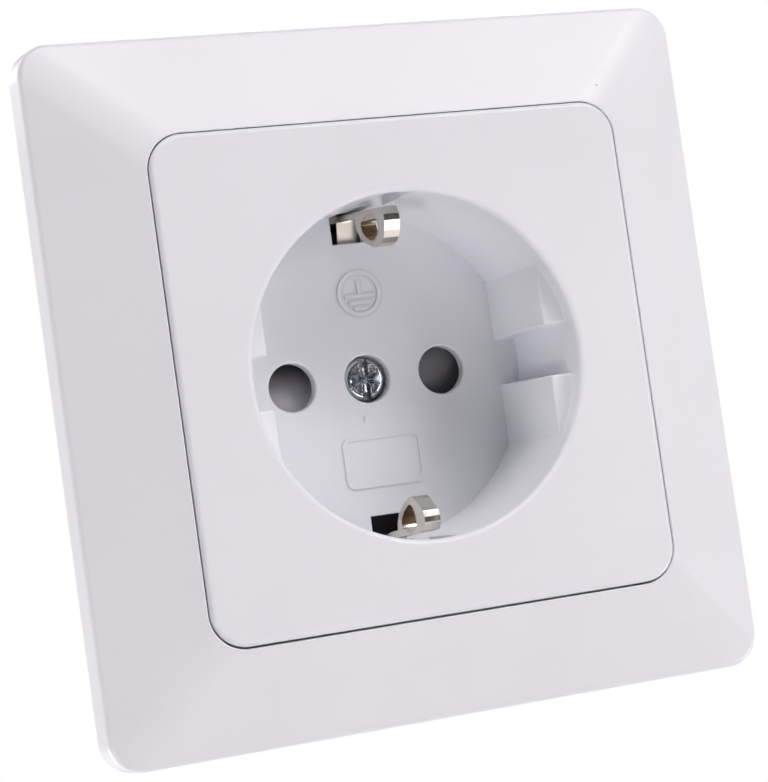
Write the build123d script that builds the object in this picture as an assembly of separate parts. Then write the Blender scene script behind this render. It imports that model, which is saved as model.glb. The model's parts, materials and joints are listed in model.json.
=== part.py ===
from build123d import *
from math import cos, hypot, pi, radians, sin
import os

# Flush wall socket with side earth contacts (CEE 7/3 pattern) and a single frame.
# X is to the right seen from the front, Y goes into the wall, Z is up.
# The origin is on the recess axis, in the wall plane that the frame and the
# steel ring stand on. The front of the centre plate is at y = -PROJ.

# ---------------------------------------------------------------- dimensions
PROJ = 9.0              # centre plate front to wall plane

FRAME_WALL = 80.0       # frame outside, at the wall
FRAME_EDGE = 79.6       # frame outside, at the front edge of its side wall
FRAME_EDGE_Y = -3.74    # that edge
FRAME_IN_Y = -8.75      # inner end of the sloping faces
FRAME_R = 3.8           # outer corner radius
OPEN = 56.34            # frame opening
OPEN_R = 4.17
OPEN_AT = (-0.04, -0.06)  # its centre: the frame sits a little low and left of the plate
LEDGE = 51.0            # opening of the ledge that the centre plate clamps
LEDGE_Y = (-6.2, -4.7)
FRAME_T = 2.0           # wall of the frame

PLATE = 56.0            # centre plate
PLATE_R = 4.0
PLATE_T = 2.0
BORE_R = 19.55          # plug recess
CUP_R = 21.0            # outside of the recess cup
FLOOR = 8.5             # front of the recess floor: 17.5 behind the plate front
FLOOR_B = 10.0          # back of the recess floor
LIP = 0.65              # rounding of the recess mouth
GUIDE_X = 16.85         # flat faces of the side guides
GUIDE_Y = (-6.3, -6.7)  # front of the guides, at the face and at the wall
GROOVE_FLOOR = 2.65     # half width of the side grooves at the floor
GROOVE_FRONT = 3.0      # and at the front
PIN_X = 9.5             # pins 19 apart
PIN_HOLE_R = 2.875
SCREW_WELL_R = 2.85
SCREW_SEAT = 11.5       # where the screw head bears
WINDOW_X = 2.05         # half width of the openings and pockets for the earth contacts
WINDOW_Z = 16.25
POCKET_YS = (-8.1, 1.4)  # pockets in the cup wall that the sprung loops move into
POCKET_ROOF = 20.45

STRIP_X = 0.95          # half width of the earth contact strip
STRIP_T = 0.8
STRAP_X = 3.0           # half width of the earth strap inside
STRAP_Z = 19.0          # inner face of its legs
STRAP_BACK = 29.6       # front face of its rear crossing

RING = 70.5             # steel support ring
RING_T = 1.2
RING_R = 21.6
FIX_SPACING = 60.0      # box screws
FIX_R = 1.7
SLOT_LONG = 9.0

BASE_R = 25.3
BASE_FLAT = 22.6
BASE_BACK = 30.4
CAVITY_R = 20.6
COVER_Y = (16.2, 17.8)  # contact cover disc
COVER_R = 20.3
BOSS_R = 4.0
BOSS_Y = 13.0
POCKET_Y = 28.6         # bottom of the contact pockets

ROTOR_Y = (10.4, 15.9)
ROTOR_BORE = 4.06
ROTOR_HUB = 6.7
ROTOR_TIP = 14.6
ROTOR_HALF = 3.2
ROTOR_TURN = 38.0       # degrees from shut to open

LUG_Y = (18.2, 19.0)
TERM_X = 9.5
TERM_Z = 11.3
EARTH_TERM = (6.6, -12.6)
TERM_SCREW_R = 1.75

CLAW_X = 24.6
CLAW_SCREW_R = 1.5
CLAW_Y = 21.0           # front of the tapped plate, screws slack
CLAW_TRAVEL = 8.0

os.makedirs("parts", exist_ok=True)


# ---------------------------------------------------------------- helpers
def prism(sketch, y0, y1):
    """The sketch, drawn in X and Z, from y0 to y1."""
    return extrude(Plane(origin=(0, y1, 0), x_dir=(1, 0, 0), z_dir=(0, -1, 0)) * sketch, amount=y1 - y0)


def cyl(r, y0, y1, x=0.0, z=0.0):
    return prism(Pos(x, z) * Circle(r), y0, y1)


def block(x0, x1, y0, y1, z0, z1):
    return Pos((x0 + x1) / 2, (y0 + y1) / 2, (z0 + z1) / 2) * Box(x1 - x0, y1 - y0, z1 - z0)


def rsq(size, r, y):
    """A rounded square face at depth y."""
    return Plane(origin=(0, y, 0), x_dir=(1, 0, 0), z_dir=(0, -1, 0)) * RectangleRounded(size, size, r)


def side(points, x0, x1):
    """A closed outline of (y, z) points, from x0 to x1."""
    face = make_face(Polyline(*[(y, z, 0) for y, z in points], close=True))
    return extrude(Plane(origin=(x0, 0, 0), x_dir=(0, 1, 0), z_dir=(1, 0, 0)) * face, amount=x1 - x0)


def plan(points, z0, z1):
    """A closed outline of (x, y) points, from z0 to z1."""
    face = make_face(Polyline(*[(x, y, 0) for x, y in points], close=True))
    return extrude(Pos(0, 0, z0) * face, amount=z1 - z0)


def front(points, y0, y1):
    """A closed outline of (x, z) points, from y0 to y1."""
    return prism(make_face(Polyline(*[(x, z, 0) for x, z in points], close=True)), y0, y1)


def one(shape):
    """The single solid of a shape."""
    found = shape.solids()
    assert len(found) == 1, f"{len(found)} solids"
    return found[0]


def save(name, shape, count=1):
    found = shape.solids()
    assert len(found) == count, f"{name}: {len(found)} solids"
    assert all(s.is_valid for s in found), f"{name} is not valid"
    out = found[0] if count == 1 else Compound(children=list(found))
    out.label = name
    export_step(out, f"parts/{name}.step")
    print(f"{name}: {sum(s.volume for s in found):.1f} mm3")


# ---------------------------------------------------------------- cover frame
outer = loft([rsq(FRAME_WALL, FRAME_R, 0), rsq(FRAME_EDGE, FRAME_R, FRAME_EDGE_Y)])
outer += loft([rsq(FRAME_EDGE, FRAME_R, FRAME_EDGE_Y), rsq(OPEN - 0.2, OPEN_R - 0.1, FRAME_IN_Y)])
edge = [e for e in outer.edges() if abs(e.center().Y - FRAME_EDGE_Y) < 0.01 and e.bounding_box().size.Y < 0.01]
outer = fillet(edge, 0.9)
slope = (FRAME_EDGE / 2 - OPEN / 2) / (FRAME_EDGE_Y - FRAME_IN_Y)     # across per depth
run = hypot(slope, 1)
roof = FRAME_EDGE_Y + FRAME_T * run / slope                          # inner slope, at the outer edge's x
in_wall = FRAME_WALL / 2 - 2.2


def roof_y(x):
    return roof - (FRAME_EDGE / 2 - x) / slope


skirt = OPEN / 2 + 1.7
hollow = loft([rsq(2 * in_wall, 2.0, 0.5), rsq(2 * in_wall - 0.2, 2.0, roof_y(in_wall - 0.1))])
hollow += loft([rsq(2 * in_wall - 0.2, 2.0, roof_y(in_wall - 0.1)), rsq(2 * skirt, 5.0, roof_y(skirt))])
hollow -= prism(RectangleRounded(2 * skirt, 2 * skirt, 5.0), -9.0, LEDGE_Y[1])
frame = outer - hollow
frame -= prism(Pos(*OPEN_AT) * RectangleRounded(OPEN, OPEN, OPEN_R), -10, LEDGE_Y[0])
frame -= prism(RectangleRounded(LEDGE, LEDGE, 2.5), -10, 1)
rib = Part()
for k in (-24.0, -12.0, 12.0, 24.0):
    for a in range(4):
        rib += Rot(0, 90 * a, 0) * block(skirt - 0.4, in_wall + 0.4, -7.6, -2.0, k - 0.5, k + 0.5)
rib &= outer
frame += rib
rim = [e for e in frame.edges() if abs(e.center().Y - FRAME_IN_Y) < 0.08 and e.bounding_box().size.Y < 0.04
       and max(abs(e.center().X), abs(e.center().Z)) > OPEN / 2 - 1.6]
frame = fillet(rim, 0.12)
save("cover_frame", one(frame))

# ---------------------------------------------------------------- centre plate with its recess
plate = prism(RectangleRounded(PLATE, PLATE, PLATE_R), -PROJ, LEDGE_Y[0])
top = [e for e in plate.edges() if abs(e.center().Y + PROJ) < 0.01 and e.bounding_box().size.Y < 0.01]
plate = fillet(top, 0.6)
plate -= prism(RectangleRounded(PLATE - 3.2, PLATE - 3.2, 2.4), -PROJ + PLATE_T, 0)
plate += cyl(CUP_R, -PROJ + PLATE_T - 0.2, FLOOR_B)
plate -= cyl(BORE_R, -10, FLOOR)
mouth = [e for e in plate.edges() if e.geom_type == GeomType.CIRCLE and abs(e.center().Y + PROJ) < 0.01
         and abs(e.radius - BORE_R) < 0.01]
plate = fillet(mouth, LIP)
guides = Part()
for sx in (-1, 1):
    for sz in (-1, 1):
        g = plan([(sx * GUIDE_X, FLOOR + 0.2), (sx * GUIDE_X, GUIDE_Y[0]), (sx * BORE_R, GUIDE_Y[1]),
                  (sx * (BORE_R + 0.6), GUIDE_Y[1]), (sx * (BORE_R + 0.6), FLOOR + 0.2)], 0, 12)
        g = g if sz > 0 else mirror(g, Plane.XY)
        cut = side([(FLOOR + 1, sz * GROOVE_FLOOR), (GUIDE_Y[1] - 1, sz * GROOVE_FRONT),
                    (GUIDE_Y[1] - 1, -sz * 1), (FLOOR + 1, -sz * 1)], -30, 30)
        guides += g - cut
guides &= cyl(BORE_R + 0.5, -8, FLOOR + 0.2)
plate += guides
plate += cyl(3.8, FLOOR_B - 0.1, BOSS_Y)
plate -= cyl(SCREW_WELL_R, 0, SCREW_SEAT)
plate -= cyl(1.95, 0, BOSS_Y + 1)
for sx in (-1, 1):
    plate -= cyl(PIN_HOLE_R, 0, FLOOR_B + 1, sx * PIN_X)
for sz in (-1, 1):
    plate -= side([(POCKET_YS[0], sz * 19.0), (POCKET_YS[0], sz * POCKET_ROOF), (POCKET_YS[1] - 1.2, sz * POCKET_ROOF),
                   (POCKET_YS[1], sz * 19.3), (POCKET_YS[1], sz * 19.0)], -WINDOW_X, WINDOW_X)
    # opening in the floor, and room for the strip along the wall
    plate -= side([(3.5, sz * 19.0), (3.5, sz * 19.35), (FLOOR, sz * 19.85), (FLOOR_B + 1, sz * 20.15),
                   (FLOOR_B + 1, sz * WINDOW_Z), (FLOOR - 0.1, sz * WINDOW_Z), (FLOOR - 0.1, sz * 19.0)],
                  -WINDOW_X, WINDOW_X)


def soften(shape, radius, *tests):
    """Round the edges that pass one of the tests."""
    return fillet([e for e in shape.edges() if any(t(e) for t in tests)], radius)


def at_floor(e):
    return abs(e.center().Y - FLOOR) < 0.01


plate = soften(plate, 0.3, lambda e: at_floor(e) and e.geom_type == GeomType.CIRCLE and abs(e.radius - PIN_HOLE_R) < 0.01)
plate = soften(plate, 0.25, lambda e: at_floor(e) and e.geom_type == GeomType.CIRCLE and abs(e.radius - SCREW_WELL_R) < 0.01)
plate = soften(
    plate, 0.3,
    # along the grooves
    lambda e: e.geom_type == GeomType.LINE and abs(abs(e.center().X) - GUIDE_X) < 0.02
    and 2 < abs(e.center().Z) < 3.2 and e.length > 8,
    # fronts of the guides
    lambda e: e.geom_type == GeomType.LINE and abs(e.center().Y - GUIDE_Y[0]) < 0.3
    and abs(abs(e.center().X) - GUIDE_X) < 0.6 and e.bounding_box().size.Z > 3,
    lambda e: e.geom_type == GeomType.LINE and abs(e.center().Y - (GUIDE_Y[0] + GUIDE_Y[1]) / 2) < 0.1
    and 17 < abs(e.center().X) < 19.4 and 2.5 < abs(e.center().Z) < 3.2)
plate = soften(plate, 0.15, lambda e: at_floor(e) and abs(e.center().X) < 2.2 and abs(e.center().Z) > 15)
# small stiffeners between the cup and the rim, behind the front wall
for a in range(8):
    plate += Rot(0, 22.5 + 45 * a, 0) * block(CUP_R - 0.3, 26.2, -PROJ + PLATE_T - 0.1, LEDGE_Y[0], -0.6, 0.6)

# raised protective-earth sign on the floor, and a bare raised outline below it
UP = 0.2
SIGN_X = 0.35
mark = prism(Pos(SIGN_X, 10.2) * (Circle(2.75) - Circle(2.3)), FLOOR - UP, FLOOR + 0.1)
mark += block(SIGN_X - 0.2, SIGN_X + 0.2, FLOOR - UP, FLOOR + 0.1, 9.9, 11.7)
for z, half in ((9.9, 1.9), (9.1, 1.4), (8.35, 0.9)):
    mark += block(SIGN_X - half, SIGN_X + half, FLOOR - UP, FLOOR + 0.1, z - 0.2, z + 0.2)
plate += mark
label = Pos(0.55, -9.8) * (RectangleRounded(9.9, 6.05, 1.0) - RectangleRounded(9.2, 5.35, 0.7))
plate += prism(label, FLOOR - UP, FLOOR + 0.1)
plate += block(-1.18, -1.0, FLOOR - UP, FLOOR + 0.1, -5.1, -4.4)
save("centre_plate", one(plate))

# ---------------------------------------------------------------- cover screw
head = cyl(2.5, SCREW_SEAT - 2.0, SCREW_SEAT)
rim_e = [e for e in head.edges() if e.geom_type == GeomType.CIRCLE and abs(e.center().Y - SCREW_SEAT + 2.0) < 0.01]
head = fillet(rim_e, 0.55)
head -= block(-0.55, 0.55, SCREW_SEAT - 3, SCREW_SEAT - 1.35, -2.6, 2.6)
top_plane = Plane(origin=(0, SCREW_SEAT - 2.0, 0), x_dir=(1, 0, 0), z_dir=(0, 1, 0))
head -= extrude(top_plane * Rectangle(3.8, 1.3), amount=0.95, taper=30)
head -= extrude(top_plane * Rectangle(1.3, 3.8), amount=0.95, taper=30)
head -= extrude(top_plane * Circle(0.95), amount=1.75, taper=27)
screw = head + cyl(1.72, SCREW_SEAT - 0.2, 23.6)
tip = [e for e in screw.edges() if e.geom_type == GeomType.CIRCLE and abs(e.center().Y - 23.6) < 0.01]
screw = chamfer(tip, 0.4)
save("cover_screw", one(screw))

# square nut behind the contact cover
nut = block(-3.0, 3.0, 18.0, 20.8, -3.0, 3.0) - cyl(1.76, 17, 22)
save("cover_screw_nut", one(nut))

# ---------------------------------------------------------------- shutter
# A turning shutter: each arm is a ramp. A pin pressed on each ramp turns it
# about the screw boss, and its spring turns it back.
hub = cyl(ROTOR_HUB, *ROTOR_Y)
arm = front([(0, -ROTOR_HALF), (ROTOR_TIP, -ROTOR_HALF), (ROTOR_TIP, ROTOR_HALF), (0, ROTOR_HALF)], *ROTOR_Y)
arm &= cyl(ROTOR_TIP + 0.2, *ROTOR_Y)
ramp_r = side([(ROTOR_Y[0] - 1, ROTOR_HALF + 0.1), (ROTOR_Y[0] + 0.1, ROTOR_HALF + 0.1),
               (ROTOR_Y[0] + 2.4, -ROTOR_HALF), (ROTOR_Y[0] + 2.4, -ROTOR_HALF - 1),
               (ROTOR_Y[0] - 1, -ROTOR_HALF - 1)], ROTOR_HUB - 1.2, 20)
right_arm = arm - ramp_r
left_arm = Rot(0, 180, 0) * right_arm
rotor = hub + right_arm + left_arm
for s in (1, -1):
    rotor -= (Rot(0, 0, 0) if s > 0 else Rot(0, 180, 0)) * (ramp_r & block(ROTOR_HUB - 1.2, 20, 0, 30, -5, 5))
rotor -= cyl(ROTOR_BORE, 0, 30)
rotor -= cyl(5.9, 13.6, 30)                      # room for the spring
rotor -= block(-0.5, 0.5, 13.6, 30, 5.0, 8.0)    # slot that takes the spring's outer leg
save("shutter", one(rotor))

# torsion spring round the boss, three close turns and two legs
W = 0.22
helix = Helix(pitch=0.5, height=1.25, radius=4.75)
coil_path = Plane(origin=(0, 14.0, 0), x_dir=(0, 0, 1), z_dir=(0, 1, 0)) * helix
start = coil_path @ 0
spring = sweep(Plane(origin=start, z_dir=coil_path % 0) * Circle(W), path=coil_path)
leg_out = extrude(Plane(origin=(0, start.Y, 4.75), z_dir=(0, 0, 1)) * Circle(W), amount=1.9)
end = coil_path @ 1
LEG_X = end.X + 0.13
leg_in = extrude(Plane(origin=(LEG_X, end.Y - 0.12, end.Z), x_dir=(0.6, 0, 0.8), z_dir=(0, 1, 0)) * Circle(W * 1.02),
                 amount=17.2 - end.Y)
spring = spring + leg_out + leg_in
save("shutter_spring", one(spring))

# ---------------------------------------------------------------- contact cover
cover = cyl(COVER_R, *COVER_Y)
cover += cyl(BOSS_R, BOSS_Y, COVER_Y[0] + 0.1)
cover -= cyl(1.95, 0, 30)
for sx in (-1, 1):
    cover -= cyl(2.7, 0, 30, sx * PIN_X)
    cover -= cyl(3.3, 0, 30, sx * TERM_X, TERM_Z)
cover -= cyl(3.3, 0, 30, *EARTH_TERM)
for sz in (-1, 1):
    z0, z1 = sorted((sz * 18.6, sz * 25))
    cover -= block(-STRAP_X - 0.3, STRAP_X + 0.3, 0, 30, z0, z1)
cover -= cyl(0.45, 0, 30, LEG_X, end.Z)          # hole for the spring's fixed leg
cover += cyl(0.9, 11.2, COVER_Y[0] + 0.1, -12.0, ROTOR_HALF + 1.0)      # stop when shut
a = radians(ROTOR_TURN) + 0.3851 + 0.0943 + 0.009
cover += cyl(0.8, 11.2, COVER_Y[0] + 0.1, 8.5 * cos(a), 8.5 * sin(a))   # stop when open
save("contact_cover", one(cover))

# ---------------------------------------------------------------- socket base
base = cyl(BASE_R, 0, BASE_BACK)
back_e = [e for e in base.edges() if e.geom_type == GeomType.CIRCLE and abs(e.center().Y - BASE_BACK) < 0.01]
base = chamfer(back_e, 1.0)
base &= block(-BASE_FLAT, BASE_FLAT, -1, 40, -30, 30)
for sx in (-1, 1):
    for z in (-5.5, 5.5):
        x0, x1 = sorted((sx * (BASE_FLAT - 0.5), sx * 24.0))
        base += block(x0, x1, 1.0, 28.0, z - 0.6, z + 0.6)
base -= cyl(21.4, -1, FLOOR_B + 0.2)
base -= cyl(CAVITY_R, 0, COVER_Y[1])
for sz in (-1, 1):
    z0, z1 = sorted((sz * (STRAP_Z - 0.3), sz * (STRAP_Z + STRIP_T + 0.3)))
    base -= block(-STRAP_X - 0.2, STRAP_X + 0.2, 5, 40, z0, z1)
    base -= cyl(1.25, -1, 8.4, 0, sz * 23.35)
z1 = STRAP_Z + STRIP_T + 0.3
base -= block(-STRAP_X - 0.2, STRAP_X + 0.2, STRAP_BACK, 40, -z1, z1)
base -= block(-3.15, 3.15, 17, 20.9, -3.15, 3.15)
base -= cyl(2.2, 17, 25.0)
for sx in (-1, 1):
    x0, x1 = sorted((sx * 4.9, sx * 14.2))
    base -= block(x0, x1, 17, POCKET_Y, -4.7, 4.7)
    x0, x1 = sorted((sx * 5.9, sx * 13.1))
    base -= block(x0, x1, 17, 25.4, 7.6, 30)                      # terminal chamber, open above for the wire
    x0, x1 = sorted((sx * 6.2, sx * 12.8))
    base -= block(x0, x1, 17, POCKET_Y, 4.6, 9.4)
ex, ez = EARTH_TERM
base -= block(ex - 3.9, ex + 3.9, 17, 25.4, -30, ez + 3.9)        # open below for the wire
base -= block(-STRAP_X - 0.2, ex, 17, 19.4, -STRAP_Z - 0.2, ez - 2.2)
# shallow pockets in the back
for sx in (-1, 1):
    base -= block(sx * 9.5 - 3.2, sx * 9.5 + 3.2, 28.4, 40, 10.8, 17.6)
base -= block(-12.7, -6.3, 26.0, 40, -17.0, -8.6)
save("socket_base", one(base))

# ---------------------------------------------------------------- support ring
ring = prism(RectangleRounded(RING, RING, 4.0), -RING_T, 0)
ring -= cyl(RING_R, -5, 5)
for sz in (-1, 1):
    ring -= cyl(FIX_R, -5, 5, 0, sz * FIX_SPACING / 2)
    ring -= cyl(1.25, -5, 5, 0, sz * 23.35)
    ring -= prism(Pos(sz * FIX_SPACING / 2, 0) * Rot(0, 0, 90) * SlotOverall(SLOT_LONG, 2 * FIX_R), -5, 5)
    ring -= cyl(1.6, -5, 5, sz * CLAW_X, 0)
    for sx in (-1, 1):
        ring -= cyl(2.1, -5, 5, sx * 28.5, sz * 28.5)
        # keyhole for a surface screw
        ring -= cyl(1.7, -5, 5, sx * 20.0, sz * 27.5)
        ring -= prism(Pos(sx * 14.5, sz * 33.2) * SlotOverall(9.0, 1.6), -5, 5)
        ring -= prism(Pos(sx * 33.2, sz * 14.5) * Rot(0, 0, 90) * SlotOverall(9.0, 1.6), -5, 5)
for a in range(4):
    ring -= Rot(0, 90 * a, 0) * prism(Pos(RING / 2, 0) * Circle(1.6), -5, 5)
save("support_ring", one(ring))

# hollow rivets that hold the base to the ring
rivets = []
for sz in (-1, 1):
    r = cyl(2.1, -RING_T - 0.8, -RING_T, 0, sz * 23.35) + cyl(1.2, -RING_T - 0.1, 8.0, 0, sz * 23.35)
    re = [e for e in r.edges() if e.geom_type == GeomType.CIRCLE and abs(e.center().Y + RING_T + 0.8) < 0.01]
    r = fillet(re, 0.5)
    r -= cyl(0.7, -5, 3.0, 0, sz * 23.35)
    rivets.append(one(r))
save("ring_rivets", Compound(children=rivets), 2)

# ---------------------------------------------------------------- earth bracket
# One nickel-plated strip: a sprung loop at the top and at the bottom of the
# recess, and a strap that joins them behind the contacts' chambers.
C = -PROJ      # the outlines below are depths from the plate's front
top_out = [(3.25, 18.42), (2.7, 17.5), (2.66, 16.75), (3.1, 15.65), (3.65, 14.9), (4.6, 14.4), (5.9, 14.2), (7.0, 14.3),
           (9.3, 15.05), (10.9, 15.95), (11.8, 17.0), (12.0, 17.95), (11.5, 18.95), (7.5, 18.6)]
top_in = [(5.1, 17.35), (4.9, 16.3), (5.5, 15.5), (6.6, 15.1), (7.8, 15.2), (9.2, 15.85), (10.0, 16.5), (10.3, 17.3), (9.9, 17.75)]
bot_out = [(3.75, 18.55), (3.22, 17.65), (3.22, 17.0), (3.48, 16.25), (5.6, 14.85), (6.4, 14.52), (7.3, 14.55), (9.1, 15.15),
           (10.9, 16.25), (11.9, 17.35), (12.1, 18.1), (11.6, 18.85), (7.5, 18.7)]
bot_in = [(6.0, 17.95), (5.95, 16.8), (6.4, 15.85), (7.1, 15.4), (7.9, 15.5), (9.3, 16.1), (10.3, 16.9), (10.6, 17.6), (10.4, 18.1)]


def rounded_side(points, radius, x0, x1):
    """A closed outline of (y, z) points with rounded corners, from x0 to x1."""
    face = make_face(Polyline(*[(y, z, 0) for y, z in points], close=True))
    face = fillet(face.vertices(), radius)
    return extrude(Plane(origin=(x0, 0, 0), x_dir=(0, 1, 0), z_dir=(1, 0, 0)) * face, amount=x1 - x0)


def loop(out, inn, sz):
    o = rounded_side([(C + y, sz * z) for y, z in out], 0.18, -STRIP_X, STRIP_X)
    i = rounded_side([(C + y, sz * z) for y, z in inn], 0.2, -STRIP_X - 1, STRIP_X + 1)
    return o - i


def strip(line, sz, half):
    """A strip of thickness STRIP_T whose inner face follows (y, z) points."""
    pts = [(y, sz * z) for y, z in line] + [(y, sz * (z + STRIP_T)) for y, z in reversed(line)]
    return side(pts, -half, half)


bracket = loop(top_out, top_in, 1) + strip([(C + 4.6, 17.7), (C + 17.5, 18.8), (10.4, 19.0), (12.0, 19.0)], 1, STRIP_X)
bracket += loop(bot_out, bot_in, -1) + strip([(C + 5.0, 17.85), (C + 14.0, 18.3), (9.3, 18.85), (10.4, 19.0), (12.0, 19.0)],
                                             -1, STRIP_X)
for sz in (1, -1):
    leg = strip([(10.6, STRAP_Z), (STRAP_BACK + STRIP_T, STRAP_Z)], sz, STRAP_X)
    bracket += leg
zz = STRAP_Z + STRIP_T
bracket += block(-STRAP_X, STRAP_X, STRAP_BACK, STRAP_BACK + STRIP_T, -zz, zz)
outer_e = [e for e in bracket.edges() if abs(e.center().Y - STRAP_BACK - STRIP_T) < 0.01
           and abs(abs(e.center().Z) - zz) < 0.01 and e.bounding_box().size.X > 5]
bracket = fillet(outer_e, 1.0)
# tab that bears on the back of the recess floor, seen through the upper opening
bracket += side([(10.15, 19.2), (10.88, 15.9), (11.68, 15.9), (10.95, 19.2)], -0.6, STRAP_X)
# terminal lug
lug = front([(-STRAP_X, -STRAP_Z - 0.4), (STRAP_X, -STRAP_Z - 0.4), (STRAP_X, -16.3), (ex + 3.6, -16.3),
             (ex + 3.6, ez + 3.6), (ex - 3.6, ez + 3.6), (ex - 3.6, -15.6), (-STRAP_X, -17.0)], *LUG_Y)
lug -= cyl(1.9, 17, 20, ex, ez)
bracket += lug
save("earth_bracket", one(bracket))

# ---------------------------------------------------------------- line contacts
def contact(sx):
    tube = cyl(3.2, 18.6, 28.4, sx * PIN_X) - cyl(2.42, 18, 27.6, sx * PIN_X)
    tube -= block(sx * PIN_X - 5, sx * PIN_X + 5, 17, 27.6, -1.15, 1.15)
    flare = Plane(origin=(sx * PIN_X, 18.6, 0), x_dir=(1, 0, 0), z_dir=(0, 1, 0))
    tube -= extrude(flare * Circle(2.95), amount=1.0, taper=28)
    x0, x1 = sorted((sx * (PIN_X - 2.9), sx * (PIN_X + 2.9)))
    web = block(x0, x1, 27.6, 28.4, -3.0, 8.6)
    riser = block(x0, x1, LUG_Y[0], 28.4, 7.8, 8.6)
    x0, x1 = sorted((sx * (TERM_X - 3.3), sx * (TERM_X + 3.3)))
    plate_ = block(x0, x1, *LUG_Y, 7.8, 14.8) - cyl(1.9, 17, 20, sx * TERM_X, TERM_Z)
    return one(tube + web + riser + plate_)


def contact_spring(sx):
    c = cyl(3.75, 20.4, 24.4, sx * PIN_X) - cyl(3.23, 20, 25, sx * PIN_X)
    x0, x1 = sorted((sx * PIN_X, sx * (PIN_X + 6)))
    return one(c - block(x0, x1, 20, 25, -1.4, 1.4))


def terminal_screw(x, z):
    s = cyl(3.0, 16.2, LUG_Y[0], x, z)
    e = [e for e in s.edges() if e.geom_type == GeomType.CIRCLE and abs(e.center().Y - 16.2) < 0.01]
    s = fillet(e, 0.5)
    s -= block(x - 0.4, x + 0.4, 15, 17.2, z - 4, z + 4)
    s -= block(x - 1.3, x + 1.3, 15, 17.5, z - 0.4, z + 0.4)
    s += cyl(TERM_SCREW_R, LUG_Y[0] - 0.1, 24.6, x, z)
    return one(s)


def terminal_clamp(x, z, z0, z1, w=3.2):
    c = block(x - w, x + w, 22.0, 23.3, z0, z1)
    c += block(x - w, x - w + 0.9, 20.6, 22.1, z0, z1) + block(x + w - 0.9, x + w, 20.6, 22.1, z0, z1)
    return one(c - cyl(TERM_SCREW_R + 0.02, 17, 26, x, z))


for name, sx in (("live", -1), ("neutral", 1)):
    save(f"{name}_contact", contact(sx))
    save(f"{name}_contact_spring", contact_spring(sx))
    save(f"{name}_terminal_screw", terminal_screw(sx * TERM_X, TERM_Z))
    save(f"{name}_terminal_clamp", terminal_clamp(sx * TERM_X, TERM_Z, 8.75, 14.7))
save("earth_terminal_screw", terminal_screw(ex, ez))
save("earth_terminal_clamp", terminal_clamp(ex, ez, ez - 3.2, ez + 3.2))


# ---------------------------------------------------------------- claws
def claw(sx):
    c = plan([(sx * 22.95, CLAW_Y), (sx * 26.3, CLAW_Y), (sx * 26.6, CLAW_Y - 0.4), (sx * 27.4, 11.0),
              (sx * 28.5, 9.6), (sx * 28.9, 10.2), (sx * 28.5, 11.4), (sx * 27.9, CLAW_Y + 0.6),
              (sx * 27.3, CLAW_Y + 1.2), (sx * 22.95, CLAW_Y + 1.2)], -4.4, 4.4)
    c -= side([(5, -1.1), (12.0, -1.1), (13.4, 0), (12.0, 1.1), (5, 1.1)], *sorted((sx * 26, sx * 30)))
    c -= cyl(CLAW_SCREW_R + 0.04, 15, 30, sx * CLAW_X)
    return one(c)


def claw_screw(sx):
    x = sx * CLAW_X
    s = cyl(2.7, -RING_T - 1.9, -RING_T, x)
    e = [e for e in s.edges() if e.geom_type == GeomType.CIRCLE and abs(e.center().Y + RING_T + 1.9) < 0.01]
    s = fillet(e, 0.6)
    s -= block(x - 0.35, x + 0.35, -5, -RING_T - 1.0, -4, 4)
    s += cyl(CLAW_SCREW_R, -RING_T - 0.1, 25.4, x)
    return one(s)


for name, sx in (("left", -1), ("right", 1)):
    save(f"{name}_claw", claw(sx))
    save(f"{name}_claw_screw", claw_screw(sx))
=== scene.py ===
import json
import math

import bmesh
import bpy
from mathutils import Matrix, Vector


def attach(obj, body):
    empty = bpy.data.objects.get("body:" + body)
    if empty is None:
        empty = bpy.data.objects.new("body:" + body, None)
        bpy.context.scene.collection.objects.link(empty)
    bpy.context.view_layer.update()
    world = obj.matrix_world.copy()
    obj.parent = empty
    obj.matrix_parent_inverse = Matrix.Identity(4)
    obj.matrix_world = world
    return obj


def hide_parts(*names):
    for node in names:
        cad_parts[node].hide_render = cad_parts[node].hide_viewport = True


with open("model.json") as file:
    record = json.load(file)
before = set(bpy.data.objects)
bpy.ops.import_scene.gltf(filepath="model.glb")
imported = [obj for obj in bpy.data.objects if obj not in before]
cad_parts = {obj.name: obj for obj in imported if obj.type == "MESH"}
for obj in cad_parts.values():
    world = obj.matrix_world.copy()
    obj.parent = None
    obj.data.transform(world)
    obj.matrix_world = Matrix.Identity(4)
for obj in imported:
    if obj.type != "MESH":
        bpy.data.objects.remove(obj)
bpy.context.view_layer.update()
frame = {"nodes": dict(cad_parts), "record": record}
scene = bpy.context.scene
scene.view_settings.view_transform = "Standard"
scene.view_settings.look = "None"
scene.view_settings.exposure = 0.0
scene.view_settings.gamma = 1.0

MM = 0.001


# ------------------------------------------------------------------ materials
def new_material(name):
    m = bpy.data.materials.new(name)
    m.use_nodes = True
    nt = m.node_tree
    for n in list(nt.nodes):
        nt.nodes.remove(n)
    out = nt.nodes.new("ShaderNodeOutputMaterial")
    bsdf = nt.nodes.new("ShaderNodeBsdfPrincipled")
    nt.links.new(bsdf.outputs[0], out.inputs[0])
    return m, nt, bsdf


def coords(nt, stretch=(1, 1, 1)):
    tc = nt.nodes.new("ShaderNodeTexCoord")
    mp = nt.nodes.new("ShaderNodeMapping")
    mp.inputs["Scale"].default_value = stretch
    nt.links.new(tc.outputs["Object"], mp.inputs["Vector"])
    return mp.outputs[0]


def noise(nt, vec, size, detail=3.0, rough=0.55):
    """Noise whose features are about size metres."""
    n = nt.nodes.new("ShaderNodeTexNoise")
    n.inputs["Scale"].default_value = 1.0 / size
    n.inputs["Detail"].default_value = detail
    n.inputs["Roughness"].default_value = rough
    nt.links.new(vec, n.inputs["Vector"])
    return n.outputs["Fac"]


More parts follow.
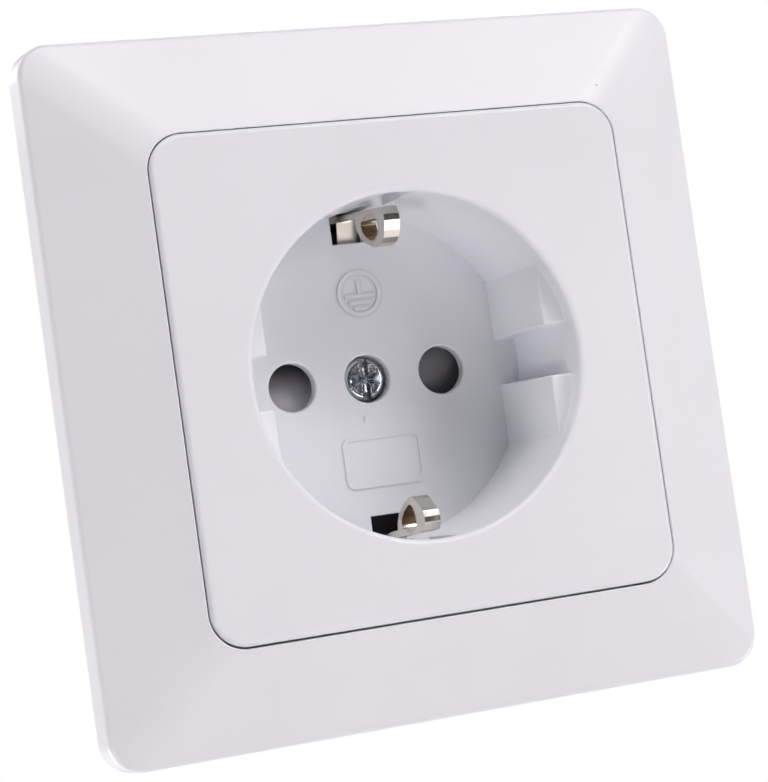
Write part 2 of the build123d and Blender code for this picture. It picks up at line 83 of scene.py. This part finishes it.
def spread(nt, fac, lo, hi, f0=0.35, f1=0.65):
    m = nt.nodes.new("ShaderNodeMapRange")
    m.inputs["From Min"].default_value = f0
    m.inputs["From Max"].default_value = f1
    m.inputs["To Min"].default_value = lo
    m.inputs["To Max"].default_value = hi
    nt.links.new(fac, m.inputs["Value"])
    return m.outputs["Result"]


def blend_colour(nt, fac, a, b):
    m = nt.nodes.new("ShaderNodeMix")
    m.data_type = "RGBA"
    for key, val in (("A_Color", a), ("B_Color", b)):
        sock = next(s for s in m.inputs if s.identifier == key)
        if isinstance(val, (tuple, list)):
            sock.default_value = (*val, 1.0)
        else:
            nt.links.new(val, sock)
    sock = next(s for s in m.inputs if s.identifier == "Factor_Float")
    if isinstance(fac, float):
        sock.default_value = fac
    else:
        nt.links.new(fac, sock)
    return next(s for s in m.outputs if s.identifier == "Result_Color")


def bump(nt, bsdf, height, distance, strength=1.0, previous=None):
    b = nt.nodes.new("ShaderNodeBump")
    b.inputs["Strength"].default_value = strength
    b.inputs["Distance"].default_value = distance
    nt.links.new(height, b.inputs["Height"])
    if previous is not None:
        nt.links.new(previous, b.inputs["Normal"])
    nt.links.new(b.outputs[0], bsdf.inputs["Normal"])
    return b.outputs[0]


def specks(nt, vec, cell, radius, share):
    """1 in a few tiny round spots, 0 elsewhere: spots of that radius, one in some of the cells of that size."""
    v = nt.nodes.new("ShaderNodeTexVoronoi")
    v.inputs["Scale"].default_value = 1.0 / cell
    nt.links.new(vec, v.inputs["Vector"])
    near = nt.nodes.new("ShaderNodeMath")
    near.operation = "LESS_THAN"
    near.inputs[1].default_value = radius / cell
    nt.links.new(v.outputs["Distance"], near.inputs[0])
    sep = nt.nodes.new("ShaderNodeSeparateColor")
    nt.links.new(v.outputs["Color"], sep.inputs[0])
    pick = nt.nodes.new("ShaderNodeMath")
    pick.operation = "LESS_THAN"
    pick.inputs[1].default_value = share
    nt.links.new(sep.outputs[0], pick.inputs[0])
    both = nt.nodes.new("ShaderNodeMath")
    both.operation = "MULTIPLY"
    nt.links.new(near.outputs[0], both.inputs[0])
    nt.links.new(pick.outputs[0], both.inputs[1])
    return both.outputs[0]


def white_plastic(name, colour, rough=0.36, grain=0.35):
    """Injection-moulded white plastic: a fine even grain, faint flow marks, a few specks and hairline scuffs."""
    m, nt, b = new_material(name)
    vec = coords(nt)
    broad = noise(nt, vec, 0.018, 3.0)
    fine = noise(nt, vec, 0.00045, 2.0, 0.5)
    tone = blend_colour(nt, spread(nt, broad, 0.0, 1.0), tuple(c * 0.985 for c in colour), tuple(min(c * 1.01, 0.93) for c in colour))
    dots = specks(nt, vec, 0.0065, 0.00011, 0.22)
    tone = blend_colour(nt, dots, tone, (0.16, 0.15, 0.15))
    nt.links.new(tone, b.inputs["Base Color"])
    scuff = noise(nt, coords(nt, (1.0, 1.0, 14.0)), 0.004, 4.0, 0.6)
    r1 = spread(nt, scuff, rough - 0.03, rough + 0.05)
    nt.links.new(r1, b.inputs["Roughness"])
    b.inputs["IOR"].default_value = 1.5
    first = bump(nt, b, fine, 0.000012, grain)
    slow = noise(nt, vec, 0.006, 2.0, 0.5)
    bump(nt, b, slow, 0.00004, 0.25, first)
    return m


def dull_plastic(name, colour, rough=0.55, grain=0.0003, depth=0.00003):
    """Plain moulded technical plastic: fine erosion grain, slightly uneven tone."""
    m, nt, b = new_material(name)
    vec = coords(nt)
    broad = noise(nt, vec, 0.009, 4.0)
    tone = blend_colour(nt, spread(nt, broad, 0.0, 1.0), tuple(c * 0.86 for c in colour), tuple(min(1.0, c * 1.16) for c in colour))
    nt.links.new(tone, b.inputs["Base Color"])
    fine = noise(nt, vec, grain, 3.0, 0.6)
    nt.links.new(spread(nt, fine, rough - 0.08, rough + 0.08), b.inputs["Roughness"])
    b.inputs["IOR"].default_value = 1.5
    first = bump(nt, b, fine, depth, 0.5)
    flow = noise(nt, coords(nt, (1.0, 1.0, 4.0)), 0.012, 2.0)
    bump(nt, b, flow, 0.00008, 0.25, first)
    return m


def paint_foot_shade(m, boxes, ring, floor_y, amount, reach):
    """Paints a faint dark line of painted shade at the foot of raised marks on a floor at floor_y (metres, +Y into the
    floor).
    boxes: centre x, centre z, half width, half height; ring: centre x, centre z, middle radius, half width. Raised
    faces are left unpainted."""
    nt = m.node_tree
    b = next(n for n in nt.nodes if n.type == "BSDF_PRINCIPLED")
    sep = nt.nodes.new("ShaderNodeSeparateXYZ")
    nt.links.new(coords(nt), sep.inputs[0])

    def maths(op, a, c=0.0):
        n = nt.nodes.new("ShaderNodeMath")
        n.operation = op
        for k, v in ((0, a), (1, c)):
            if isinstance(v, float):
                n.inputs[k].default_value = v
            else:
                nt.links.new(v, n.inputs[k])
        return n.outputs[0]

    def off(axis, centre):
        return maths("SUBTRACT", sep.outputs[axis], centre)

    x, z = off("X", ring[0]), off("Z", ring[1])
    r = maths("SQRT", maths("ADD", maths("MULTIPLY", x, x), maths("MULTIPLY", z, z)))
    away = maths("SUBTRACT", maths("ABSOLUTE", maths("SUBTRACT", r, ring[2])), ring[3])
    for cx, cz, hx, hz in boxes:
        dx = maths("SUBTRACT", maths("ABSOLUTE", off("X", cx)), hx)
        dz = maths("SUBTRACT", maths("ABSOLUTE", off("Z", cz)), hz)
        away = maths("MINIMUM", away, maths("MAXIMUM", dx, dz))
    foot = spread(nt, away, amount, 0.0, 0.0, reach)
    low = maths("MULTIPLY", maths("GREATER_THAN", sep.outputs["Y"], floor_y - 0.00008), maths("LESS_THAN", sep.outputs["Y"], floor_y + 0.00008))
    old = b.inputs["Base Color"].links[0].from_socket
    # painted shade: the floor colour is darkened towards (0.30, 0.29, 0.31) at the foot of the raised marks
    nt.links.new(blend_colour(nt, maths("MULTIPLY", foot, low), old, (0.30, 0.29, 0.31)), b.inputs["Base Color"])
    return m


def paint_shade_by_height(m, z_lo, z_hi, lo, right):
    """Paints shade by multiplying a plastic's colour: 1 at z_lo falling to lo at z_hi, and times right where x is
    positive.
    """
    nt = m.node_tree
    b = next(n for n in nt.nodes if n.type == "BSDF_PRINCIPLED")
    sep = nt.nodes.new("ShaderNodeSeparateXYZ")
    nt.links.new(coords(nt), sep.inputs[0])
    up = spread(nt, sep.outputs["Z"], 1.0, lo, z_lo, z_hi)
    side = spread(nt, sep.outputs["X"], 1.0, right, -0.002, 0.002)
    k = nt.nodes.new("ShaderNodeMath")
    k.operation = "MULTIPLY"
    nt.links.new(up, k.inputs[0])
    nt.links.new(side, k.inputs[1])
    old = b.inputs["Base Color"].links[0].from_socket
    # painted shade: darker towards the top and on the right (+x) side
    nt.links.new(blend_colour(nt, k.outputs[0], (0.02, 0.02, 0.024), old), b.inputs["Base Color"])
    return m


def metal(name, colour, rough=0.3, stretch=(1, 1, 1), scratch=0.0006, depth=0.00001, stain=None, stain_share=0.5, pits=0.25):
    """Plated or rolled metal: fine lines along the rolling direction, uneven polish and a light stain."""
    m, nt, b = new_material(name)
    b.inputs["Metallic"].default_value = 1.0
    vec = coords(nt)
    cloud = noise(nt, vec, 0.004, 5.0, 0.6)
    dark = stain or tuple(c * 0.72 for c in colour)
    tone = blend_colour(nt, spread(nt, cloud, 0.0, stain_share, 0.42, 0.72), colour, dark)
    nt.links.new(tone, b.inputs["Base Color"])
    lines = noise(nt, coords(nt, stretch), scratch, 4.0, 0.65)
    cloudy = noise(nt, vec, 0.0022, 3.0, 0.5)
    add = nt.nodes.new("ShaderNodeMath")
    add.operation = "MULTIPLY_ADD"
    add.inputs[1].default_value = 0.5
    nt.links.new(lines, add.inputs[0])
    half = nt.nodes.new("ShaderNodeMath")
    half.operation = "MULTIPLY"
    half.inputs[1].default_value = 0.5
    nt.links.new(cloudy, half.inputs[0])
    nt.links.new(half.outputs[0], add.inputs[2])
    nt.links.new(spread(nt, add.outputs[0], max(0.04, rough - 0.1), rough + 0.12), b.inputs["Roughness"])
    first = bump(nt, b, lines, depth, 0.5)
    dents = noise(nt, vec, 0.0014, 2.0, 0.5)
    bump(nt, b, dents, depth * 3, pits, first)
    return m


def thread(m, pitch, y_from):
    """Adds a screw thread to a metal: ridges along Y, that pitch, where y is beyond y_from."""
    nt = m.node_tree
    b = next(n for n in nt.nodes if n.type == "BSDF_PRINCIPLED")
    tc = nt.nodes.new("ShaderNodeTexCoord")
    sep = nt.nodes.new("ShaderNodeSeparateXYZ")
    nt.links.new(tc.outputs["Object"], sep.inputs[0])
    turn = nt.nodes.new("ShaderNodeMath")
    turn.operation = "PINGPONG"
    turn.inputs[1].default_value = pitch / 2
    nt.links.new(sep.outputs["Y"], turn.inputs[0])
    on = nt.nodes.new("ShaderNodeMath")
    on.operation = "GREATER_THAN"
    on.inputs[1].default_value = y_from
    nt.links.new(sep.outputs["Y"], on.inputs[0])
    h = nt.nodes.new("ShaderNodeMath")
    h.operation = "MULTIPLY"
    nt.links.new(turn.outputs[0], h.inputs[0])
    nt.links.new(on.outputs[0], h.inputs[1])
    old = b.inputs["Normal"].links[0].from_socket
    bm_ = nt.nodes.new("ShaderNodeBump")
    bm_.inputs["Strength"].default_value = 1.0
    bm_.inputs["Distance"].default_value = 0.8
    nt.links.new(h.outputs[0], bm_.inputs["Height"])
    nt.links.new(old, bm_.inputs["Normal"])
    nt.links.new(bm_.outputs[0], b.inputs["Normal"])
    return m


def paint_loop_reflection(m, loops, half_width, colour):
    """Paints a dark brown reflection onto the strip's inner faces: inside ellipses in the YZ plane, |x| below
    half_width.
    loops: centre y, centre z, half length along y, half length along z, in metres."""
    nt = m.node_tree
    b = next(n for n in nt.nodes if n.type == "BSDF_PRINCIPLED")
    vec = coords(nt)
    sep = nt.nodes.new("ShaderNodeSeparateXYZ")
    nt.links.new(vec, sep.inputs[0])

    def maths(op, a, c):
        n = nt.nodes.new("ShaderNodeMath")
        n.operation = op
        for k, v in ((0, a), (1, c)):
            if isinstance(v, float):
                n.inputs[k].default_value = v
            else:
                nt.links.new(v, n.inputs[k])
        return n.outputs[0]

    total = None
    for y0, z0, a, c in loops:
        u = maths("MULTIPLY", maths("SUBTRACT", sep.outputs["Y"], y0), 1.0 / a)
        v = maths("MULTIPLY", maths("SUBTRACT", sep.outputs["Z"], z0), 1.0 / c)
        q = maths("ADD", maths("MULTIPLY", u, u), maths("MULTIPLY", v, v))
        hit = spread(nt, q, 1.0, 0.0, 0.97, 1.03)
        total = hit if total is None else maths("MAXIMUM", total, hit)
    near = spread(nt, maths("ABSOLUTE", sep.outputs["X"], 0.0), 1.0, 0.0, half_width - 0.00001, half_width + 0.00001)
    mask = maths("MULTIPLY", total, near)
    old = b.inputs["Base Color"].links[0].from_socket
    cloud = noise(nt, vec, 0.0012, 3.0)
    # painted reflection: dark brown on the loops' inner faces
    dark_reflection = blend_colour(nt, spread(nt, cloud, 0.0, 1.0), colour, tuple(k * 0.6 for k in colour))
    nt.links.new(blend_colour(nt, mask, old, dark_reflection), b.inputs["Base Color"])
    old = b.inputs["Roughness"].links[0].from_socket
    nt.links.new(maths("ADD", old, maths("MULTIPLY", mask, 0.18)), b.inputs["Roughness"])
    return m


MATS = {
    "white_plastic": white_plastic("white_plastic", (0.865, 0.885, 0.915)),
    # plate_plastic: painted shade at the foot of the raised earth sign's ring, stem and bars
    "plate_plastic": paint_foot_shade(white_plastic("plate_plastic", (0.865, 0.885, 0.915), 0.33),
                                 [(0.00035, 0.0108, 0.0002, 0.0009), (0.00035, 0.0099, 0.0019, 0.0002), (0.00035, 0.0091, 0.0014, 0.0002),
                                  (0.00035, 0.00835, 0.0009, 0.0002)],
                                 (0.00035, 0.0102, 0.002525, 0.000225), 0.0085, 0.24, 0.00045),
    # cover_screw_zinc: its heavy dark stain blotches are partly tarnish and partly painted dark reflection
    "cover_screw_zinc": metal("cover_screw_zinc", (0.64, 0.68, 0.71), 0.2, (1, 1, 1), 0.0005, 0.00003,
                              (0.12, 0.14, 0.16), 0.85, 0.8),
    "brass": metal("brass", (0.74, 0.58, 0.30), 0.3),
    # shutter_plastic: painted shade, darker towards the top and darker on the right side
    "shutter_plastic": paint_shade_by_height(dull_plastic("shutter_plastic", (0.66, 0.64, 0.70), 0.45, 0.0003, 0.00001), -0.0018, 0.0026, 0.09, 0.6),
    "spring_steel": metal("spring_steel", (0.48, 0.48, 0.50), 0.25),
    "insulator": dull_plastic("insulator", (0.26, 0.235, 0.29), 0.5),
    "base_plastic": dull_plastic("base_plastic", (0.046, 0.042, 0.050), 0.5),
    "ring_steel": metal("ring_steel", (0.60, 0.62, 0.65), 0.36, (1, 1, 30), 0.0006, 0.000006, (0.52, 0.53, 0.55), 0.5, 0.12),
    "rivet_steel": metal("rivet_steel", (0.62, 0.63, 0.65), 0.3),
    # nickel_strip: painted dark reflection on the loops' inner faces
    "nickel_strip": paint_loop_reflection(metal("nickel_strip", (0.66, 0.63, 0.56), 0.19, (30, 1, 1), 0.0004, 0.000006, (0.46, 0.42, 0.34), 0.35, 0.2),
                               [(-0.0014, 0.0165, 0.00305, 0.00175), (-0.0008, -0.0169, 0.00265, 0.0017)], 0.000945, (0.30, 0.22, 0.14)),
    "contact_brass": metal("contact_brass", (0.78, 0.60, 0.30), 0.28, (1, 30, 1)),
    "zinc_steel": metal("zinc_steel", (0.56, 0.57, 0.60), 0.3, (1, 30, 1)),
    "claw_steel": metal("claw_steel", (0.58, 0.59, 0.61), 0.3, (1, 1, 30)),
}

CLAW_SCREW = thread(metal("claw_screw_zinc", (0.60, 0.62, 0.65), 0.26), 0.0007, 0.0)
TERMINAL_SCREW = thread(metal("terminal_screw_zinc", (0.60, 0.62, 0.65), 0.26), 0.0006, 0.0192)
NODE_SLOT = {s["node"]: s["material_slot"] for s in frame["record"]["subparts"]}
for node, obj in frame["nodes"].items():
    own = CLAW_SCREW if node.endswith("claw_screw") else TERMINAL_SCREW if node.endswith("terminal_screw") else MATS[NODE_SLOT[node]]
    for s in obj.material_slots:
        s.material = own


# ------------------------------------------------------------------ shutter spring
# Split where it moves: the coil and its inner leg stay with the socket, the outer leg turns with the shutter and
# carries an arc of wire that lies on the coil's first turn, so that the wire stays whole over the shutter's travel.
def wire(name, path, radius, material, sides=12):
    """A round wire along a path of points in mm, closed at both ends."""
    pts = [Vector(q) for q in path]
    tangents = []
    for i in range(len(pts)):
        a, c = pts[max(0, i - 1)], pts[min(len(pts) - 1, i + 1)]
        tangents.append((c - a).normalized())
    normal = tangents[0].orthogonal().normalized()
    bm = bmesh.new()
    rings = []
    for q, d in zip(pts, tangents):
        normal = (normal - d * normal.dot(d)).normalized()
        other = d.cross(normal)
        rings.append([bm.verts.new((q + (normal * math.cos(2 * math.pi * k / sides) + other * math.sin(2 * math.pi * k / sides)) * radius) * MM)
                      for k in range(sides)])
    for a, c in zip(rings, rings[1:]):
        for k in range(sides):
            f = bm.faces.new((a[k], a[(k + 1) % sides], c[(k + 1) % sides], c[k]))
            f.smooth = True
    bm.faces.new(rings[0][::-1])
    bm.faces.new(rings[-1])
    bmesh.ops.recalc_face_normals(bm, faces=bm.faces)
    me = bpy.data.meshes.new(name)
    bm.to_mesh(me)
    bm.free()
    me.materials.append(material)
    o = bpy.data.objects.new(name, me)
    scene.collection.objects.link(o)
    return o


WIRE_R, COIL_R, COIL_Y, PITCH, TURNS = 0.22, 4.75, 14.0, 0.5, 2.5


def on_coil(turn):
    a = 2 * math.pi * turn
    return (COIL_R * math.sin(a), COIL_Y + PITCH * turn, COIL_R * math.cos(a))


last = TURNS - math.asin(0.43 / COIL_R) / (2 * math.pi)
coil_path = [on_coil(last * k / 118) for k in range(119)]
px, py, pz = coil_path[-1]
coil_path += [(px - 0.3 * math.sin(b), py + 0.3 * (1 - math.cos(b)), pz) for b in (math.pi / 12 * k for k in range(1, 7))]
coil_path.append((px - 0.3, 17.2, pz))
first = math.asin(0.35 / COIL_R) / (2 * math.pi)
leg_path = [(0.0, COIL_Y, COIL_R + 1.9), (0.0, COIL_Y, COIL_R + 1.1), (0.0, COIL_Y, COIL_R + 0.35)]
leg_path += [(0.35 - 0.35 * math.cos(b), COIL_Y, COIL_R + 0.35 - 0.35 * math.sin(b)) for b in (math.pi / 14 * k for k in range(1, 7))]
leg_path += [on_coil(first + (0.125 - first) * k / 8) for k in range(9)]
coil = wire("shutter_spring_coil", coil_path, WIRE_R, MATS["spring_steel"])
leg = wire("shutter_spring_leg", leg_path, WIRE_R, MATS["spring_steel"])
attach(coil, "socket")
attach(leg, "shutter")
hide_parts("shutter_spring")
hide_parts("shutter_spring")

# ------------------------------------------------------------------ camera
RIGHT = Vector((0.9271, -0.3478, -0.1396)).normalized()
FORWARD = Vector((0.3565, 0.9334, 0.0423)).normalized()
RIGHT = (RIGHT - FORWARD * RIGHT.dot(FORWARD)).normalized()
UP = RIGHT.cross(FORWARD)
cam_data = bpy.data.cameras.new("camera")
cam = bpy.data.objects.new("camera", cam_data)
scene.collection.objects.link(cam)
rot = Matrix((RIGHT, UP, -FORWARD)).transposed().to_4x4()
cam.matrix_world = Matrix.Translation((-0.0956, -0.24653, -0.01326)) @ rot
cam_data.sensor_fit = "AUTO"
cam_data.sensor_width = 36.0
cam_data.lens = 105.81
cam_data.clip_start = 0.005
cam_data.clip_end = 50.0
scene.camera = cam

# ------------------------------------------------------------------ floor
bm = bmesh.new()
bmesh.ops.create_grid(bm, x_segments=8, y_segments=8, size=1.6)
me = bpy.data.meshes.new("floor")
bm.to_mesh(me)
bm.free()
floor = bpy.data.objects.new("floor", me)
floor.location = (0, 0, -0.55)
scene.collection.objects.link(floor)
fm, fnt, fb = new_material("floor_pale")
fvec = coords(fnt)
fnt.links.new(blend_colour(fnt, spread(fnt, noise(fnt, fvec, 0.3, 2.0), 0.0, 1.0), (0.86, 0.86, 0.87), (0.89, 0.89, 0.895)),
              fb.inputs["Base Color"])
fb.inputs["Roughness"].default_value = 0.8
fb.inputs["Emission Color"].default_value = (1.0, 0.985, 0.99, 1.0)
fb.inputs["Emission Strength"].default_value = 0.45
floor.visible_diffuse = False
me.materials.append(fm)

# ------------------------------------------------------------------ light
TARGET = Vector((0.0, 0.0, 0.0))


def softbox(name, az, el, dist, size, watts, colour=(1, 1, 1)):
    """A square soft light. Azimuth 0 is in front (-Y), 90 at the right (+X); elevation is above the horizon."""
    a, e = math.radians(az), math.radians(el)
    way = Vector((math.sin(a) * math.cos(e), -math.cos(a) * math.cos(e), math.sin(e)))
    ld = bpy.data.lights.new(name, "AREA")
    ld.shape = "SQUARE"
    ld.size = size
    ld.energy = watts
    ld.color = colour
    lo = bpy.data.objects.new(name, ld)
    lo.location = TARGET + way * dist
    lo.rotation_mode = "QUATERNION"
    lo.rotation_quaternion = (-way).to_track_quat("-Z", "Y")
    lo.visible_camera = False
    scene.collection.objects.link(lo)
    return lo


# azimuth, elevation, size in metres, watts
LIGHTS = [
    (40, 40, 0.25, 1.95), (-20, 40, 0.25, 0.15), (60, 20, 0.25, 0.10), (0, 60, 0.25, 2.05), (-60, 60, 0.25, 1.18),
    (60, 0, 0.25, 0.33), (40, 0, 0.25, 1.01), (-60, -20, 0.25, 0.68), (0, -20, 0.25, 0.42), (20, -20, 0.25, 0.16),
    (-60, -40, 0.4, 3.42), (20, -40, 0.55, 2.49), (60, -40, 0.25, 0.49), (-125, -30, 0.25, 5.85), (90, -30, 0.25, 1.67),
    (125, 10, 0.4, 1.5), (150, 30, 0.5, 2.5), (-150, 30, 0.5, 2.5),
]
for i, (az, el, size, watts) in enumerate(LIGHTS):
    softbox(f"soft_{i:02d}", az, el, 0.9, size, watts * 1.12, (1.0, 0.947, 0.975))

world = bpy.data.worlds.new("studio")
scene.world = world
world.use_nodes = True
wnt = world.node_tree
for n in list(wnt.nodes):
    wnt.nodes.remove(n)
w_out = wnt.nodes.new("ShaderNodeOutputWorld")
w_mix = wnt.nodes.new("ShaderNodeMixShader")
w_path = wnt.nodes.new("ShaderNodeLightPath")
w_light = wnt.nodes.new("ShaderNodeBackground")
w_light.name = "ambient"
w_seen = wnt.nodes.new("ShaderNodeBackground")
w_light.inputs["Color"].default_value = (1, 1, 1, 1)
w_light.inputs["Strength"].default_value = 0.05
w_seen.inputs["Color"].default_value = (1, 1, 1, 1)
w_seen.inputs["Strength"].default_value = 1.0
wnt.links.new(w_path.outputs["Is Camera Ray"], w_mix.inputs["Fac"])
wnt.links.new(w_light.outputs[0], w_mix.inputs[1])
wnt.links.new(w_seen.outputs[0], w_mix.inputs[2])
wnt.links.new(w_mix.outputs[0], w_out.inputs[0])
